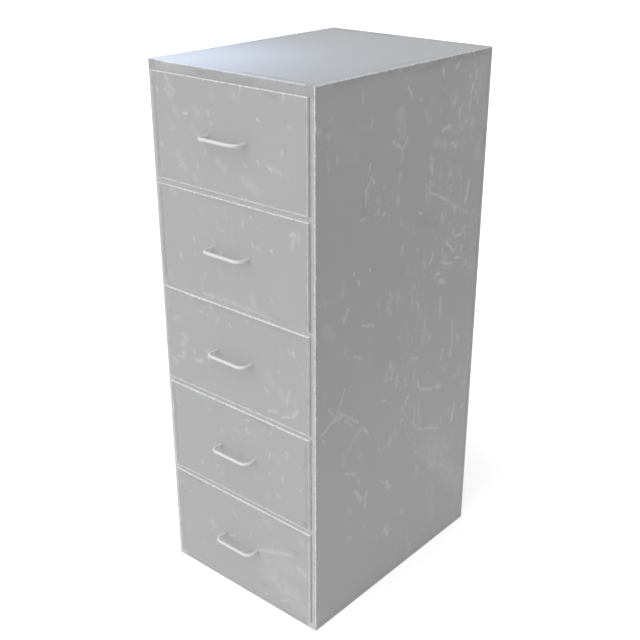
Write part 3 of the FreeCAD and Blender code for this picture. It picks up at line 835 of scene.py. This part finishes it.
class CABINET_OT_stage(bpy.types.Operator):
    """Lay the pale floor, hang the lights and set up the camera"""

    bl_idname = "cabinet.stage"
    bl_label = "Stage"

    def execute(self, context):
        stage = context.scene.cabinet_stage
        lay_floor(stage)
        hang_lights(context, stage)
        place_camera(context, stage)
        context.scene.view_settings.view_transform = "Standard"
        return {"FINISHED"}


def lay_floor(stage):
    mesh = bpy.data.meshes.new("floor")
    shape = bmesh.new()
    bmesh.ops.create_grid(shape, x_segments=4, y_segments=4, size=stage.floor_size / 2)
    shape.to_mesh(mesh)
    shape.free()
    floor = bpy.data.objects.new("floor", mesh)
    bpy.context.scene.collection.objects.link(floor)
    material, graph, shader = material_graph("pale_floor")
    tone = graph.noise(graph.place(), 1.5, 2.0)
    color = graph.mix(graph.times(tone, 0.02), stage.floor_color, (0.9, 0.9, 0.92))
    graph.set(shader.inputs["Base Color"], color)
    shader.inputs["Roughness"].default_value = 0.9
    shader.inputs["Emission Color"].default_value = (1.0, 1.0, 1.0, 1.0)
    graph.set(shader.inputs["Emission Strength"], graph.times(seen_directly(graph), FLOOR_GLOW))
    mesh.materials.append(material)


def seen_directly(graph):
    """1 for a ray that shows the background itself, straight on, mirrored or through something clear"""
    rays = graph.add("LightPath").outputs
    return graph.largest([rays["Is Camera Ray"], rays["Is Glossy Ray"], rays["Is Transmission Ray"]])


def hang_lights(context, stage):
    world = bpy.data.worlds.new("studio")
    world.use_nodes = True
    context.scene.world = world
    graph = Graph(world.node_tree)
    strength = graph.add("MapRange", seen_directly(graph), 0.0, 1.0, stage.fill, 1.0).outputs[0]
    background = world.node_tree.nodes["Background"]
    background.inputs["Color"].default_value = (1.0, 1.0, 1.0, 1.0)
    graph.set(background.inputs["Strength"], strength)

    for name, strength, place in (("key", stage.key, KEY_FROM), ("side", stage.side, SIDE_FROM)):
        sun = bpy.data.lights.new(name, "SUN")
        sun.energy = strength
        sun.angle = SUN_SPREAD
        aim(sun, Vector(place), Vector((0.0, 0.0, 0.0)))

    lamp = bpy.data.lights.new("corner", "AREA")
    lamp.shape = "DISK"
    lamp.size = LAMP_SIZE
    lamp.energy = stage.corner
    lamp.color = stage.corner_color
    above = Vector((CARCASS_LOW.x, CARCASS_LOW.y, CARCASS_HIGH.z)) + LAMP_PLACE
    aim(lamp, above, above + LAMP_AIM)


def aim(light, place, target):
    lamp = bpy.data.objects.new(light.name, light)
    bpy.context.scene.collection.objects.link(lamp)
    lamp.location = place
    lamp.rotation_euler = (target - place).to_track_quat("-Z", "Y").to_euler()
    lamp.visible_camera = False


def place_camera(context, stage):
    lens = bpy.data.cameras.new("camera")
    lens.sensor_width = SENSOR_WIDTH
    lens.lens = SENSOR_WIDTH / 2 / math.tan(stage.field / 2)
    camera = bpy.data.objects.new("camera", lens)
    context.scene.collection.objects.link(camera)
    camera.location = stage.camera_place
    camera.rotation_euler = (math.pi / 2 - stage.elevation, 0.0, stage.azimuth)
    context.scene.camera = camera


class CABINET_OT_carcass(bpy.types.Operator):
    """Enamel the sides, top, rails, back and base"""

    bl_idname = "cabinet.carcass"
    bl_label = "Carcass"

    def execute(self, context):
        enamel_sides(context)
        enamel_top(context)
        enamel_rails(context)
        enamel_back(context)
        for node in nodes_named("base_pan", "front_uprights", "rear_uprights"):
            dress(node, shared(inner_enamel, context))
        return {"FINISHED"}


def edge(strength, breadth, **planes):
    """One edge of a sheet: the planes that meet there, and how strongly and how broadly it is worn"""
    return planes, strength, breadth


def enamel_sides(context):
    """The right side with its own marks, and the left side with strewn ones"""
    left, front, bottom = CARCASS_LOW
    right, back, top = CARCASS_HIGH
    strewn = strewn_marks(4, 46, 9, (front, back), 60.0)
    for node, x, marks in (("left_side_panel", left, strewn), ("right_side_panel", right, SIDE_MARKS)):
        edges = [edge(0.9, 0.8, x=x, y=front), edge(0.8, 0.9, x=x, z=top), edge(0.8, 0.9, x=x, y=back),
                 edge(0.8, 0.9, x=x, z=bottom)]
        # The dust setting is painted light: each side is darker high up and paler towards the foot
        dress(node, worn_enamel(context, node + "_enamel", edges, OFFSETS[node], placed(marks, x),
                                drift=0.22, dust_and_painted_floor_light=0.08, stile=front))


def enamel_top(context):
    """The top and its folded front edge, which is the rail over the drawers"""
    left, front, _ = CARCASS_LOW
    right, back, top = CARCASS_HIGH
    edges = [edge(0.4, 1.1, y=front, z=top), edge(0.9, 1.1, x=right, z=top), edge(0.4, 1.1, x=left, z=top),
             edge(0.5, 1.1, y=back, z=top)]
    marks = placed(TOP_MARKS, up=top)
    marks["stains_and_shade"] += placed(TOP_RAIL_MARKS, up=front)["stains_and_shade"]
    # level=True paints light on the top: cooler and paler as a sky reflection, paler towards the back, darker
    # on its front fold
    dress("top_panel", worn_enamel(context, "top_enamel", edges, OFFSETS["top_panel"], marks, level=True,
                                   wear=0.15))


def enamel_rails(context):
    """The rails between the drawers, paled evenly by painted light that lifts the shade under the fronts, and
    the dirtier bottom rail with less of it
    """
    front = CARCASS_LOW.y
    for number, node in enumerate(nodes_named("front_rail_", "bottom_rail")):
        low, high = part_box(node)
        edges = [edge(0.5, 1.0, y=front, z=low.z), edge(0.5, 1.0, y=front, z=high.z)]
        lowest = node == "bottom_rail"
        marks = placed(BOTTOM_RAIL_MARKS if lowest else {}, front)
        # The rub on the rails is painted light that lifts the shade under the fronts
        dress(node, worn_enamel(context, node + "_enamel", edges, RAIL_OFFSET + number, marks, wear=0.6,
                                rub_and_painted_light=0.1 if lowest else 0.45))


def enamel_back(context):
    left, right, back, top = CARCASS_LOW.x, CARCASS_HIGH.x, CARCASS_HIGH.y, CARCASS_HIGH.z
    edges = [edge(0.6, 1.0, x=left, z=top), edge(0.6, 1.0, x=right, z=top)]
    marks = placed(strewn_marks(8, 30, 6, (left, right), 30.0), back)
    dress("back_panel", worn_enamel(context, "back_enamel", edges, OFFSETS["back_panel"], marks))


def strewn_marks(seed, strokes, clouds, across, headroom):
    """Marks strewn over an upright sheet as high as the carcass, clear of its edges, the same on every run

    across holds the sheet's limits in metres, and headroom is the bare height below its top in millimetres.
    """
    low = (across[0] * 1000 + SIDE_MARGIN, CARCASS_LOW.z * 1000 + FOOT_MARGIN)
    high = (across[1] * 1000 - SIDE_MARGIN, CARCASS_HIGH.z * 1000 - headroom)
    return {"strokes": strewn_strokes(seed, strokes, low, high),
            "clouds": strewn_clouds(seed + 1, clouds, low, high)}


def strewn_strokes(seed, count, low, high):
    chance = random.Random(seed)
    strokes = []
    for _ in range(count):
        start = Vector((chance.uniform(low[0], high[0]), chance.uniform(low[1], high[1])))
        lean = math.radians(chance.gauss(90.0, 40.0))
        end = start + Vector((math.cos(lean), math.sin(lean))) * chance.uniform(6.0, 50.0)
        strokes.append((*start, *end, chance.uniform(3.4, 5.6), chance.uniform(28.0, 46.0)))
    return strokes


def strewn_clouds(seed, count, low, high):
    chance = random.Random(seed)
    clouds = []
    for _ in range(count):
        start = Vector((chance.uniform(low[0], high[0]), chance.uniform(low[1], high[1])))
        end = start + Vector((chance.uniform(-40.0, 40.0), chance.uniform(-50.0, 50.0)))
        clouds.append((*start, *end, chance.uniform(14.0, 45.0), chance.uniform(18.0, 32.0)))
    return clouds


class CABINET_OT_fronts(bpy.types.Operator):
    """Enamel the drawer fronts, each with its own marks"""

    bl_idname = "cabinet.fronts"
    bl_label = "Drawer fronts"

    def execute(self, context):
        for row in range(DRAWERS):
            node = "drawer_front_%d" % (row + 1)
            low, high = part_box(node)
            edges = [edge(*TOP_EDGE_WEAR_AND_LEDGE_HIGHLIGHT[row], y=low.y, z=high.z),
                     edge(*FOOT_EDGE_WEAR[row], y=low.y, z=low.z),
                     edge(*LEFT_EDGE_WEAR[row], x=low.x, y=low.y),
                     edge(*RIGHT_EDGE_WEAR[row], x=high.x, y=low.y)]
            # Painted highlight on the top ledge and painted light on the flank folds, which lifts their shade
            rims = {"top": (high.z, TOP_EDGE_WEAR_AND_LEDGE_HIGHLIGHT[row][0]), "flank": (high.x, FLANK_PAINTED_LIGHT[row])}
            offset = FRONT_OFFSET + FRONT_OFFSET_STEP * (row + 1)
            marks = placed(FRONT_MARKS[row], low.y)
            dress(node, worn_enamel(context, node + "_enamel", edges, offset, marks, wear=0.35,
                                    folds=(low.y, rims)))
        return {"FINISHED"}


class CABINET_OT_pulls(bpy.types.Operator):
    """Bend a smooth rod for each pull"""

    bl_idname = "cabinet.pulls"
    bl_label = "Pulls"

    def execute(self, context):
        for number in range(1, DRAWERS + 1):
            node = "handle_%d" % number
            pull = bent_rod("pull_%d" % number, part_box(node), context.scene.cabinet_pull)
            pull.data.materials.append(shared(satin_pull, context))
            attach(pull, "drawer_%d" % number)
            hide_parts(node)
        return {"FINISHED"}


def bent_rod(name, box, shape):
    """Two legs, two quarter bends and a bar, as one rod on a smooth centre line"""
    low, high = box
    half = shape.rod / 2
    z = (low.z + high.z) / 2
    reach = low.y + half
    curve = bpy.data.curves.new(name, "CURVE")
    curve.dimensions = "3D"
    curve.bevel_depth = half
    curve.bevel_resolution = ROUND_STEPS // 4 - 1
    curve.resolution_u = ROUND_STEPS // 2
    curve.use_fill_caps = True
    line = curve.splines.new("BEZIER")
    points = []
    for side, outward in ((-1, True), (1, False)):
        leg = side * ((high.x - low.x) / 2 - half)
        stops = [Vector((leg, high.y, z)), Vector((leg, reach + shape.bend, z)),
                 Vector((leg - side * shape.bend, reach, z))]
        points += stops if outward else stops[::-1]
    line.bezier_points.add(len(points) - 1)
    for index, (point, place) in enumerate(zip(line.bezier_points, points)):
        before = points[max(index - 1, 0)]
        after = points[min(index + 1, len(points) - 1)]
        point.co = place
        point.handle_left_type = point.handle_right_type = "FREE"
        point.handle_left = place + (before - place) / 3
        point.handle_right = place + (after - place) / 3
    for first, last, leg in ((1, 2, 1), (3, 4, 4)):
        corner = Vector((points[leg].x, reach, z))
        start, end = line.bezier_points[first], line.bezier_points[last]
        start.handle_right = start.co + (corner - start.co) * BEND_HANDLE
        end.handle_left = end.co + (corner - end.co) * BEND_HANDLE
    rod = bpy.data.objects.new(name, curve)
    bpy.context.scene.collection.objects.link(rod)
    return rod


class CABINET_OT_drawers(bpy.types.Operator):
    """Enamel the drawer bodies and backs"""

    bl_idname = "cabinet.drawers"
    bl_label = "Drawer bodies"

    def execute(self, context):
        for node in nodes_named("drawer_body_", "drawer_back_"):
            dress(node, shared(inner_enamel, context))
        return {"FINISHED"}


class CABINET_OT_runners(bpy.types.Operator):
    """Plate the runners and the pull screws, and finish wheels and buffers"""

    bl_idname = "cabinet.runners"
    bl_label = "Runners, wheels and screws"

    def execute(self, context):
        for node in nodes_named("cabinet_runners_", "drawer_runners_", "handle_screws_"):
            dress(node, shared(zinc_plate, context))
        for node in nodes_named("cabinet_wheels_", "drawer_wheels_"):
            dress(node, shared(wheel_nylon, context))
        dress("runner_buffers", shared(buffer_rubber, context))
        return {"FINISHED"}


OPERATORS = [CABINET_OT_stage, CABINET_OT_carcass, CABINET_OT_fronts, CABINET_OT_pulls, CABINET_OT_drawers,
             CABINET_OT_runners]


class CABINET_PT_panel(bpy.types.Panel):
    """Sizes, finishes and steps of the filing cabinet"""

    bl_idname = "CABINET_PT_panel"
    bl_label = "Filing cabinet"
    bl_space_type = "VIEW_3D"
    bl_region_type = "UI"
    bl_category = "Cabinet"

    def draw(self, context):
        scene = context.scene
        for group in (scene.cabinet_finish, scene.cabinet_pull, scene.cabinet_stage):
            box = self.layout.box()
            for name in group.__annotations__:
                box.prop(group, name)
        for operator in OPERATORS:
            self.layout.operator(operator.bl_idname)


GROUPS = {"cabinet_finish": CabinetFinish, "cabinet_pull": CabinetPull, "cabinet_stage": CabinetStage}
CLASSES = [*GROUPS.values(), *OPERATORS, CABINET_PT_panel]


def register():
    for kind in CLASSES:
        bpy.utils.register_class(kind)
    for name, group in GROUPS.items():
        setattr(bpy.types.Scene, name, bpy.props.PointerProperty(type=group))


def unregister():
    for name in GROUPS:
        delattr(bpy.types.Scene, name)
    for kind in reversed(CLASSES):
        bpy.utils.unregister_class(kind)


def main():
    register()
    bpy.ops.cabinet.stage()
    bpy.ops.cabinet.carcass()
    bpy.ops.cabinet.fronts()
    bpy.ops.cabinet.pulls()
    bpy.ops.cabinet.drawers()
    bpy.ops.cabinet.runners()


if __name__ == "__main__":
    main()
